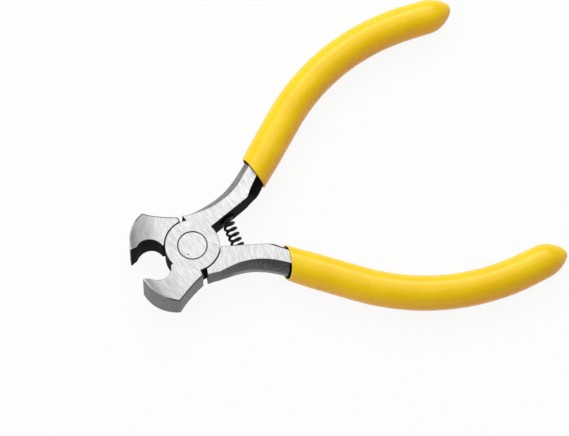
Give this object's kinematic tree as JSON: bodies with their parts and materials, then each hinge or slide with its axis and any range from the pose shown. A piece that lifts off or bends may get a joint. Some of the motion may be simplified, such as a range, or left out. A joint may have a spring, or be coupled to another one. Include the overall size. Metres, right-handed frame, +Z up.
{
  "type": "seed sheller pliers",
  "caption": "Small end-nipper pliers with a lap joint, a coil spring between the handles and dipped yellow sleeves, for cracking seed shells.",
  "frame": {"origin": "on the pivot axis, at the flat underside of the joint, where the rivet's flush head lies", "axes": "+X from the pivot towards the handles along the line between them, +Y towards the front lever's handle, +Z up along the pivot"},
  "size_m": [0.1064, 0.0868, 0.0122],
  "materials": {
    "lever_steel": "ground flat faces, darker forged sides",
    "rivet_steel": "ground flush",
    "spring_wire": "black oxide",
    "grip_vinyl": "smooth glossy vinyl"
  },
  "bodies": {
    "rear_half": {"rear_lever": "lever_steel", "rear_grip": "grip_vinyl", "pivot_rivet": "rivet_steel", "return_spring": "spring_wire"},
    "front_half": {"front_lever": "lever_steel", "front_grip": "grip_vinyl"}
  },
  "joints": [
    {"name": "jaw_pivot", "type": "hinge", "parent": "rear_half", "child": "front_half", "pos_m": [0, 0, 0], "axis": [0, 0, 1], "range_deg": [-30.8, 8], "stiffness_Nm_per_rad": 2.1, "deforming": ["return_spring"]}
  ]
}
